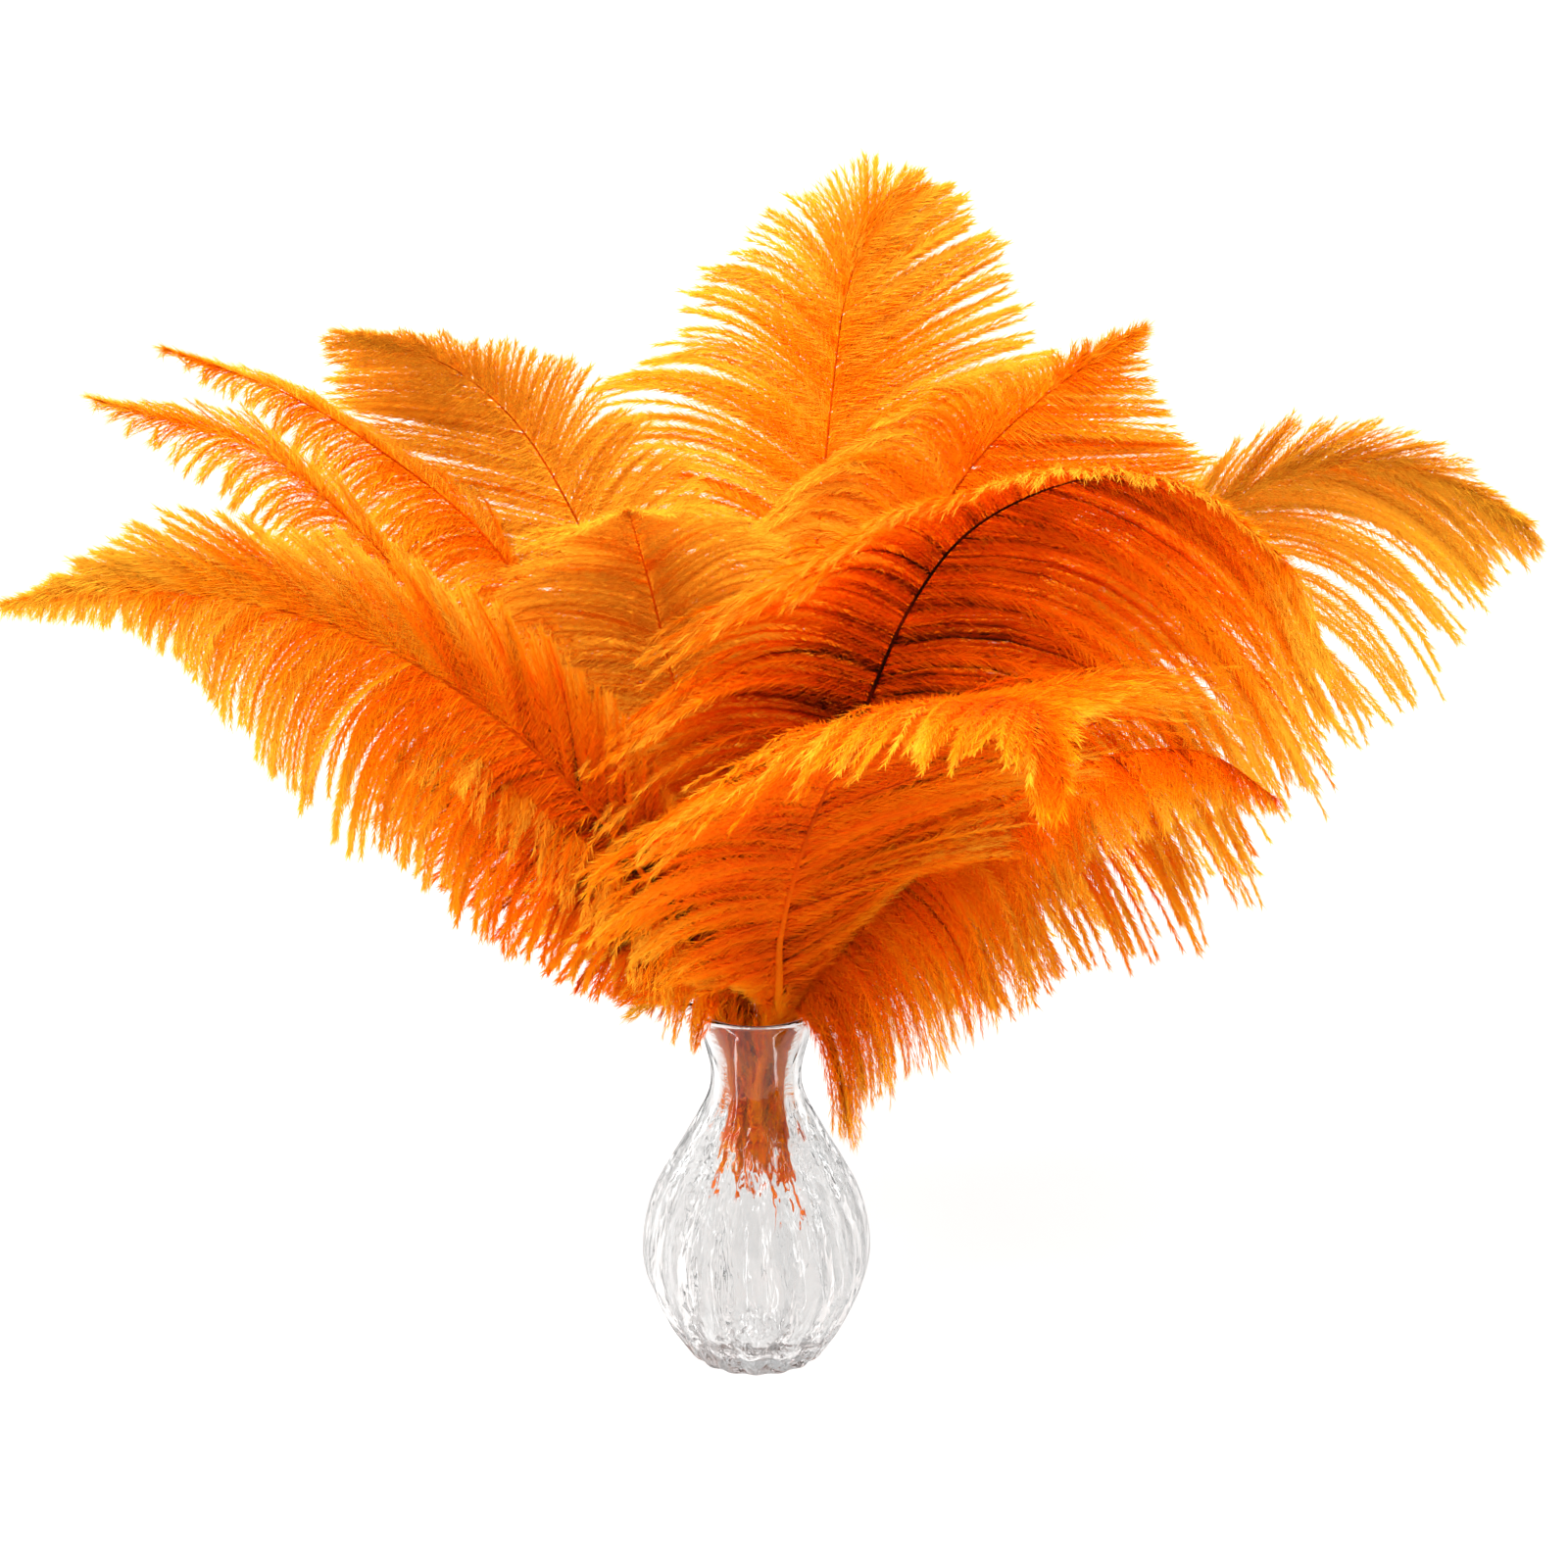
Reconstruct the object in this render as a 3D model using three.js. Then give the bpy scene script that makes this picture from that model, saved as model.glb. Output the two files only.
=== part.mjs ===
// Ostrich feathers in a fluted glass bud vase.
// Millimetres, +Z up, origin at the centre of the vase's flat foot. The bouquet's front is its -Y side.
import * as THREE from 'three';
import { mergeVertices } from 'three/addons/utils/BufferGeometryUtils.js';

// ---- Vase ----

const VASE_HEIGHT = 125;
const FOOT_RADIUS = 19;            // flat face that the vase rests on
const FLOOR_HEIGHT = 8;            // top of the thick glass floor
const FLUTES = 12;                 // pressed lobes around the belly
const FLUTE_DEPTH_OUTSIDE = 0.9;
const FLUTE_DEPTH_INSIDE = 0.5;
const FLUTE_TOP = 104;             // the flutes have faded out by this height
const FLUTE_FADE = 0.6;            // below 1, the flutes are deepest below the middle of their height
const STEPS_PER_FLUTE = 4;
const PROFILE_STEPS = 17;

// Radius and height along each side of the wall.
const OUTSIDE = [[22.3, 1.6], [29.9, 13.6], [36.6, 30], [37.6, 41], [34.1, 59], [23, 80], [15.5, 96],
  [15.3, 104], [19.4, 120], [20.9, VASE_HEIGHT - 0.8]];
const LIP = [[20.6, VASE_HEIGHT], [19.4, VASE_HEIGHT]];
const INSIDE = [[18.9, VASE_HEIGHT - 0.8], [16.8, 118], [12.8, 104], [12.9, 96], [20.3, 79.5], [31.4, 58.2],
  [34.9, 41], [33.9, 30], [27.2, 14.8], [20.5, FLOOR_HEIGHT + 0.6]];

// ---- Feathers ----

const QUILL_RADIUS = 1.5;
const RACHIS_HALF_THICKNESS = 0.7; // of the vane, along its middle
const EDGE_HALF_THICKNESS = 0.35;  // of the vane, one step in from its edge
const STATIONS_QUILL = 4;
const STATIONS_VANE = 15;
const BARB_STEPS = 3;              // straight steps in each barb
const CURVE_SAMPLES = 240;
const DOWN = new THREE.Vector3(0, 0, -1);

// Along the vane, from 0 at its base to 1 at its tip: barb length as a share of the longest one, and the
// angle in degrees that barbs make with the rachis.
const BARB_LENGTH = [[0, 0.45], [0.1, 0.75], [0.3, 1], [0.6, 1], [0.8, 0.72], [0.92, 0.42], [1, 0.15]];
const BARB_ANGLE = [[0, 72], [0.3, 66], [0.6, 56], [0.85, 42], [1, 8]];

// Each feather: quill (points inside the vase), rachis (points outside it), side (rough direction of its
// right-hand barbs), barb (longest barb on its left and right), fold (degrees that each half turns toward the
// inner face), droop and curl (how far barbs bend to the ground and back along the rachis by their tips, as a
// share of their own direction), and bare (share of the length without barbs).
const FEATHERS = {
  feather_top: {
    quill: [[1, 7, 58], [1, 9, 100]],
    rachis: [[2, 14, 122], [6, 34, 158], [15, 63, 221], [22, 84, 278], [26, 98, 314], [31, 108, 346],
      [39, 111, 365], [50, 114, 376]],
    side: [1, 0.05, 0], barb: [66, 70], fold: 0, droop: [0.5, 0.3], curl: [0.8, 0.3], bare: 0.4,
  },
  feather_upper_left: {
    quill: [[-3, 6, 60], [-4.5, 7.8, 100]],
    rachis: [[-9, 19, 141], [-24, 34, 180], [-35, 46, 214], [-48, 56, 250], [-61, 60, 278], [-79, 58, 309],
      [-100, 50, 330], [-126, 36, 343]],
    side: [0.75, -0.6, 0], barb: [70, 46], fold: 0, droop: [0.5, 0.3], curl: [0.3, 0.2], bare: 0.37,
  },
  feather_mid_left: {
    quill: [[0, 2.5, 66], [0, 3.6, 100]],
    rachis: [[-9, 2, 154], [-19, 0, 202], [-27, -4, 240], [-33, -14, 271], [-37, -32, 293], [-38, -56, 306]],
    side: [1, 0, 0], barb: [42, 42], fold: 0, droop: [0.4, 0.4], curl: [0.3, 0.3], bare: 0.45,
  },
  feather_left_high: {
    quill: [[-5, 1, 62], [-4, 1, 100]],
    rachis: [[-13, 6, 131], [-33, 24, 164], [-49, 36, 194], [-60, 42, 224], [-74, 46, 250], [-92, 46, 276],
      [-117, 42, 299], [-150, 34, 323], [-189, 20, 342]],
    side: [0, -1, 0], barb: [50, 50], fold: 52, droop: [0.9, 0.9], curl: [0, 0], bare: 0.4,
  },
  feather_left_middle: {
    quill: [[-4, -2.5, 60], [-2.4, -3.4, 100]],
    rachis: [[-12, -8, 132], [-38, -14, 185], [-66, -18, 223], [-96, -22, 259], [-123, -26, 292],
      [-152, -30, 319], [-200, -36, 336]],
    side: [0, -1, 0], barb: [50, 50], fold: 45, droop: [0.8, 0.8], curl: [0, 0], bare: 0.4,
  },
  feather_left_low: {
    quill: [[-8, -5, 56], [-7.4, -5.2, 100]],
    rachis: [[-13, -11, 130], [-44, -36, 195], [-79, -56, 240], [-117, -70, 269], [-159, -76, 284],
      [-197, -76, 287], [-226, -72, 281]],
    side: [0.5, 0.05, 0.65], barb: [66, 40], fold: 0, droop: [1.4, 0.2], curl: [0, 0], bare: 0.27,
  },
  feather_left_back: {
    quill: [[-8, 4.5, 64], [-8.6, 5, 100]],
    rachis: [[-10, 10, 125], [-28, 33, 144], [-52, 60, 156], [-80, 78, 167], [-106, 88, 176],
      [-125, 92, 177]],
    side: [0.5, -0.8, 0], barb: [50, 36], fold: 40, droop: [0.7, 0.7], curl: [0, 0], bare: 0.44,
  },
  feather_upper_right: {
    quill: [[5, 6, 60], [5.4, 6.7, 100]],
    rachis: [[9, 20, 143], [26, 37, 201], [46, 51, 252], [72, 62, 294], [94, 64, 316], [126, 62, 340]],
    side: [0.85, 0.2, -0.5], barb: [48, 66], fold: 0, droop: [0.4, 0.1], curl: [1.2, 0], bare: 0.42,
  },
  feather_middle_right: {
    quill: [[5, -1, 58], [3.6, -1, 100]],
    rachis: [[12, -6, 153], [25, -14, 203], [36, -22, 236], [49, -32, 270], [65, -42, 295], [87, -56, 312],
      [109, -74, 321], [132, -94, 320], [152, -110, 307]],
    side: [1, 0.22, 0], barb: [84, 108], fold: 0, droop: [0.7, 0.8], curl: [0, 0], bare: 0.3,
  },
  feather_far_right: {
    quill: [[8, 2, 57], [8.7, 2.3, 100]],
    rachis: [[19, 10, 137], [48, 18, 179], [87, 24, 223], [125, 28, 261], [157, 28, 290], [183, 22, 302],
      [208, 12, 304], [241, -2, 293]],
    side: [0.5, 0.7, -0.4], barb: [55, 95], fold: 0, droop: [0.2, 1], curl: [0, 0], bare: 0.32,
  },
  feather_front: {
    quill: [[2, -7, 62], [0.8, -9, 100]],
    rachis: [[7, -16, 130], [8, -42, 163], [12, -60, 188], [18, -76, 213], [26, -94, 235], [40, -114, 253],
      [55, -138, 268], [69, -164, 277], [79, -186, 279], [84, -204, 267]],
    side: [1, 0, 0], barb: [92, 85], fold: 0, droop: [0.3, 0.3], curl: [0, 0], bare: 0.3,
  },
  feather_right_low: {
    quill: [[8, -6, 48], [6.9, -5.8, 100]],
    rachis: [[11, -11, 125], [31, -19, 159], [57, -26, 187], [90, -32, 212], [117, -38, 224], [142, -42, 225],
      [164, -44, 211]],
    side: [0.2, 0.95, 0], barb: [68, 70], fold: 50, droop: [1, 1], curl: [0, 0], bare: 0.38,
  },
};

// ---- Materials ----

function material(color, roughness, extra = {}) {
  return new THREE.MeshStandardMaterial({ color, roughness, metalness: 0, ...extra });
}

const glass = material(0xe8eef0, 0.05, { transparent: true, opacity: 0.35 });
const dyedBarbs = material(0xff7a00, 0.8);

// ---- Shared geometry helpers ----

// Straight-line interpolation in a list of [place, value] pairs, for a place between the first and the last.
function interpolate(pairs, place) {
  const next = Math.max(1, pairs.findIndex(([key]) => key >= place));
  const [a, from] = pairs[next - 1];
  const [b, to] = pairs[next];
  return THREE.MathUtils.mapLinear(place, a, b, from, to);
}

// A closed geometry without normals or uvs, with shared vertices merged.
function closedGeometry(geometry) {
  geometry.deleteAttribute('normal');
  geometry.deleteAttribute('uv');
  const merged = mergeVertices(geometry, 1e-3);
  merged.computeVertexNormals();
  return merged;
}

// ---- Vase ----

function smoothProfile(points, steps) {
  const curve = new THREE.SplineCurve(points.map(([radius, height]) => new THREE.Vector2(radius, height)));
  return curve.getPoints(steps);
}

// How far a point of the wall moves out, as a scale: most on a flute's ridge, inward between two flutes.
function fluteScale(radius, height, angle, depth) {
  const fade = Math.sin(Math.PI * Math.min(height / FLUTE_TOP, 1) ** FLUTE_FADE);
  return 1 + (depth * fade * Math.cos(FLUTES * angle)) / radius;
}

// The wall is turned as one closed profile, from the foot's centre up the outside, over the lip and down the
// inside to the floor's centre. Then the flutes are pressed into both sides.
function makeVase() {
  const lip = LIP.map(([radius, height]) => new THREE.Vector2(radius, height));
  const outside = smoothProfile(OUTSIDE, PROFILE_STEPS);
  const inside = smoothProfile(INSIDE, PROFILE_STEPS);
  const foot = [new THREE.Vector2(0, 0), new THREE.Vector2(FOOT_RADIUS, 0)];
  const floor = [new THREE.Vector2(FOOT_RADIUS - 1, FLOOR_HEIGHT), new THREE.Vector2(0, FLOOR_HEIGHT)];
  const profile = [...foot, ...outside, ...lip, ...inside, ...floor];
  const firstInside = profile.length - floor.length - inside.length;
  const geometry = new THREE.LatheGeometry(profile, FLUTES * STEPS_PER_FLUTE);
  const position = geometry.attributes.position;
  for (let i = 0; i < position.count; i += 1) {
    const { x: radius, y: height } = profile[i % profile.length];
    if (radius === 0) continue;
    const depth = i % profile.length < firstInside ? FLUTE_DEPTH_OUTSIDE : FLUTE_DEPTH_INSIDE;
    const angle = Math.atan2(position.getX(i), position.getZ(i));
    const scale = fluteScale(radius, height, angle, depth);
    position.setX(i, position.getX(i) * scale);
    position.setZ(i, position.getZ(i) * scale);
  }
  geometry.rotateX(Math.PI / 2);
  return new THREE.Mesh(closedGeometry(geometry), glass);
}

// ---- Feathers ----

// Places along the rachis, evenly spaced, each with its tangent, side and back-face normal. The side vector
// is carried along the curve without twist.
function rachisFrames(feather) {
  const points = [...feather.quill, ...feather.rachis].map((p) => new THREE.Vector3(...p));
  const curve = new THREE.CatmullRomCurve3(points, false, 'centripetal');
  curve.arcLengthDivisions = CURVE_SAMPLES * 4;
  const side = new THREE.Vector3(...feather.side);
  const frames = [];
  for (let i = 0; i <= CURVE_SAMPLES; i += 1) {
    const tangent = curve.getTangentAt(i / CURVE_SAMPLES);
    side.addScaledVector(tangent, -side.dot(tangent)).normalize();
    const back = new THREE.Vector3().crossVectors(tangent, side);
    frames.push({ point: curve.getPointAt(i / CURVE_SAMPLES), tangent, side: side.clone(), back });
  }
  return frames;
}

// The points of one barb, from the rachis out. Each step turns a little more to the ground and back down the
// rachis.
function barbPoints(feather, frame, along, hand) {
  const index = hand < 0 ? 0 : 1;
  const length = feather.barb[index] * interpolate(BARB_LENGTH, along);
  const angle = THREE.MathUtils.degToRad(interpolate(BARB_ANGLE, along));
  const fold = THREE.MathUtils.degToRad(feather.fold);
  const start = frame.tangent.clone().multiplyScalar(Math.cos(angle));
  start.addScaledVector(frame.side, hand * Math.sin(angle) * Math.cos(fold));
  start.addScaledVector(frame.back, -Math.sin(angle) * Math.sin(fold));
  const points = [frame.point.clone()];
  for (let step = 0; step < BARB_STEPS; step += 1) {
    const share = (step + 0.5) / BARB_STEPS;
    const direction = start.clone();
    direction.addScaledVector(DOWN, feather.droop[index] * share);
    direction.addScaledVector(frame.tangent, -feather.curl[index] * share);
    points.push(points[step].clone().addScaledVector(direction.normalize(), length / BARB_STEPS));
  }
  return points;
}

// One row of the vane's middle surface: left barb from tip to rachis, then right barb from rachis to tip.
function vaneRow(feather, frame, along) {
  const left = barbPoints(feather, frame, along, -1).reverse();
  return [...left, ...barbPoints(feather, frame, along, 1).slice(1)];
}

// One row across the round quill, as wide as the quill.
function quillRow(frame, radius) {
  const row = [];
  for (let k = -BARB_STEPS; k <= BARB_STEPS; k += 1) {
    row.push(frame.point.clone().addScaledVector(frame.side, (radius * k) / BARB_STEPS));
  }
  return row;
}

function surfaceNormal(rows, i, k) {
  const along = rows[Math.min(i + 1, rows.length - 1)][k].clone().sub(rows[Math.max(i - 1, 0)][k]);
  const across = rows[i][Math.min(k + 1, rows[i].length - 1)].clone().sub(rows[i][Math.max(k - 1, 0)]);
  return along.cross(across).normalize();
}

// Half the thickness of the solid at column k: a circle across the quill, a thin lens across the vane.
function halfThickness(k, isQuill) {
  const out = Math.abs(k - BARB_STEPS) / BARB_STEPS;
  if (isQuill) return QUILL_RADIUS * Math.sqrt(1 - out * out);
  return THREE.MathUtils.lerp(RACHIS_HALF_THICKNESS, EDGE_HALF_THICKNESS, out);
}

// A closed thin solid around rows of points: each ring goes out over the back face and returns over the
// inner face.
function makeFeather(feather) {
  const frames = rachisFrames(feather);
  const rows = [];
  for (let i = 0; i < STATIONS_QUILL; i += 1) {
    const share = (feather.bare * i) / STATIONS_QUILL;
    rows.push(quillRow(frames[Math.round(share * CURVE_SAMPLES)], QUILL_RADIUS));
  }
  for (let i = 0; i <= STATIONS_VANE; i += 1) {
    const along = i / STATIONS_VANE;
    const share = feather.bare + along * (1 - feather.bare);
    rows.push(vaneRow(feather, frames[Math.round(share * CURVE_SAMPLES)], along));
  }
  const rings = rows.map((row, i) => {
    const back = [];
    const inner = [];
    for (let k = 1; k < row.length - 1; k += 1) {
      const offset = surfaceNormal(rows, i, k).multiplyScalar(halfThickness(k, i < STATIONS_QUILL));
      back.push(row[k].clone().add(offset));
      inner.unshift(row[k].clone().sub(offset));
    }
    return [row[0], ...back, row[row.length - 1], ...inner];
  });
  return new THREE.Mesh(loftGeometry(rings), dyedBarbs);
}

// Rings of equal length joined by quads, with a fan cap on each end.
function loftGeometry(rings) {
  const size = rings[0].length;
  const positions = rings.flat().flatMap((p) => [p.x, p.y, p.z]);
  const indices = [];
  for (let i = 0; i < rings.length - 1; i += 1) {
    for (let k = 0; k < size; k += 1) {
      const a = i * size + k;
      const b = i * size + ((k + 1) % size);
      indices.push(a, b + size, b, a, a + size, b + size);
    }
  }
  const last = (rings.length - 1) * size;
  for (let k = 1; k < size - 1; k += 1) {
    indices.push(0, k, k + 1);
    indices.push(last, last + k + 1, last + k);
  }
  const geometry = new THREE.BufferGeometry();
  geometry.setAttribute('position', new THREE.Float32BufferAttribute(positions, 3));
  geometry.setIndex(indices);
  geometry.computeVertexNormals();
  return geometry;
}

// ---- Bouquet ----

const bouquet = new THREE.Group();
const vase = makeVase();
vase.name = 'vase';
bouquet.add(vase);
for (const [name, feather] of Object.entries(FEATHERS)) {
  const mesh = makeFeather(feather);
  mesh.name = name;
  bouquet.add(mesh);
}

export default bouquet;
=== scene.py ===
# Ostrich feathers in a fluted glass bud vase: the looks. Sizes are written in millimetres, as on the bench,
# and turned into metres where a mesh is made. The feathers' curves are those of the construction model.
import math

import bpy
import numpy as np
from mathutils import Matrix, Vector


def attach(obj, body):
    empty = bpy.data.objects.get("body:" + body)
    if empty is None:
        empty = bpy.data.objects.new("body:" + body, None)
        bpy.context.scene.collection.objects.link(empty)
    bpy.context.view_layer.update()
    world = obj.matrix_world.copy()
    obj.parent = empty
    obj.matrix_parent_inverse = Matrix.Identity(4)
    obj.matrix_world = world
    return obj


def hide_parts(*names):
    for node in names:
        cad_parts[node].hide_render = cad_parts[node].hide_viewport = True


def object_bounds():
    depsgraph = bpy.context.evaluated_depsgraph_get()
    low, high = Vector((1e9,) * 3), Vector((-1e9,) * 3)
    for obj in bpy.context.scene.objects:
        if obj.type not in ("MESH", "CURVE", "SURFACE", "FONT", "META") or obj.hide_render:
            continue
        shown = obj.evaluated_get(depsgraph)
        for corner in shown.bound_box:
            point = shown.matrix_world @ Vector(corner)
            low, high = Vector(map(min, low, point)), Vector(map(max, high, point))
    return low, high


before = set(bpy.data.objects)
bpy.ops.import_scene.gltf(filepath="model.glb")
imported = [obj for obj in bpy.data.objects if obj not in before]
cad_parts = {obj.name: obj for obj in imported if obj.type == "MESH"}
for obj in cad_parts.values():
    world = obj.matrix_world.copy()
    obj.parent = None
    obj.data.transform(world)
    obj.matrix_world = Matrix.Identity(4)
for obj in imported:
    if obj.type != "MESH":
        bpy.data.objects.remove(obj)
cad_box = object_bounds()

MM = 0.001
DOWN = np.array([0.0, 0.0, -1.0])
SMALL = 0.01                 # keeps a division safe
SEED = 11

# ---- Sizes of the vase ----

VASE_HEIGHT = 125
FOOT_RADIUS = 19
FOOT = [(FOOT_RADIUS, 0), (20.4, 0.1), (21.4, 0.6)]
INNER_FLOOR_HEIGHT = 8
INNER_FLOOR_RADIUS = FOOT_RADIUS - 1
LIP_RADIUS = 1.4             # of the round edge itself
LIP_CENTRE = 19.8            # of that edge, from the vase's axis
LIP_HEIGHT = VASE_HEIGHT - LIP_RADIUS
LIP_STEPS = 8
# Radius and height of points up the outside of the wall, over the lip and down the inside.
OUTSIDE = [(22.3, 1.6), (29.9, 13.6), (36.6, 30), (37.6, 41), (34.1, 59), (23, 80), (15.5, 96),
           (15.3, 104), (19.2, 119), (LIP_CENTRE + LIP_RADIUS, LIP_HEIGHT)]
LIP = [(LIP_CENTRE + LIP_RADIUS * math.cos(turn), LIP_HEIGHT + LIP_RADIUS * math.sin(turn))
       for turn in np.linspace(0, math.pi, LIP_STEPS + 1)[1:-1]]
INSIDE = [(LIP_CENTRE - LIP_RADIUS, LIP_HEIGHT), (16.8, 118), (12.8, 104), (12.9, 96), (20.3, 79.5),
          (31.4, 58.2), (34.9, 41), (33.9, 30), (27.2, 14.8), (20.5, INNER_FLOOR_HEIGHT + 0.6)]
PROFILE_STEPS = 46           # on each side of the wall
FLUTES = 16
STEPS_PER_FLUTE = 12
FLUTE_DEPTH_OUTSIDE = 1.0
FLUTE_DEPTH_INSIDE = -0.4    # the inside bulges where the outside does, so each flute is a lens
FLUTE_TOP = 104
FLUTE_FADE = 0.6
FLUTE_START = 0.15           # the foot is slightly scalloped too
FLUTE_WOBBLE = 0.05          # radians, which bends the flutes a little
WOBBLE_HEIGHTS = (7, 19)
GLASS_IOR = 1.5
GLASS_COLOUR = (0.84, 0.85, 0.85, 1)
RIPPLE_SCALE = 170
RIPPLE_DETAIL = 2
RIPPLE_STRETCH = 0.14        # ripples run up the wall
RIPPLE_DEPTH = 3
RIPPLE_FADE = (78, 96)       # heights between which the glass gets smoother toward the neck
RIPPLE_STRENGTH = (0.8, 0.1) # below and above them

# ---- Sizes of the feathers ----

# Angle in degrees between barb and rachis, from the foot of the vane to its tip.
BARB_ANGLE = ([0, 0.3, 0.6, 0.85, 1], [72, 66, 56, 42, 8])

# What each feather says. A pair is for its left and its right hand.
#   quill, rachis   points of its middle line, from the lower end to the tip
#   side            rough direction of its right-hand barbs
#   barb            length of the longest barb
#   fold            degrees that each half turns toward the inner face
#   droop, curl     how far barbs bend to the ground and back along the rachis
#   sweep           barb angles, as a share of BARB_ANGLE
#   foot            length of the lowest barbs, as a share of the longest
#   taper, tip      from where barbs get shorter toward the tip, and the share of their length that is left
#   limp            extra droop at the foot of the vane, or lift where it is negative
#   spacing, crowd  distance between barbs; above 1, crowd brings them closer at the foot
#   fill            how thick the barbules stand, as a share of the usual
#   cling           how firmly the ends of neighbouring barbs hold together
#   tone            0 dark brown to 1 pale yellow-orange: the dye, and for some feathers painted shade or painted light
#   rise            how much paler the tip of the feather is than its foot: painted light at the tip, painted shade at the foot
#   fade, shade     how much paler barbs get toward their ends (painted shade at the roots, a painted glow at the ends, with some of the dye's own change), and how much darker the lowest roots are (painted shade)
#   shaft           tone of the rachis
USUAL = dict(fold=(0, 0), droop=(0.3, 0.3), curl=(0, 0), sweep=(1, 1), foot=(0.6, 0.6), taper=(0.6, 0.6),
             tip=(1, 1), limp=0, spacing=1.5, crowd=1.15, fill=1, cling=0.8, tone=0.5, rise=0, fade=0.3,
             shade=0.2, shaft=0.24)
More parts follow.
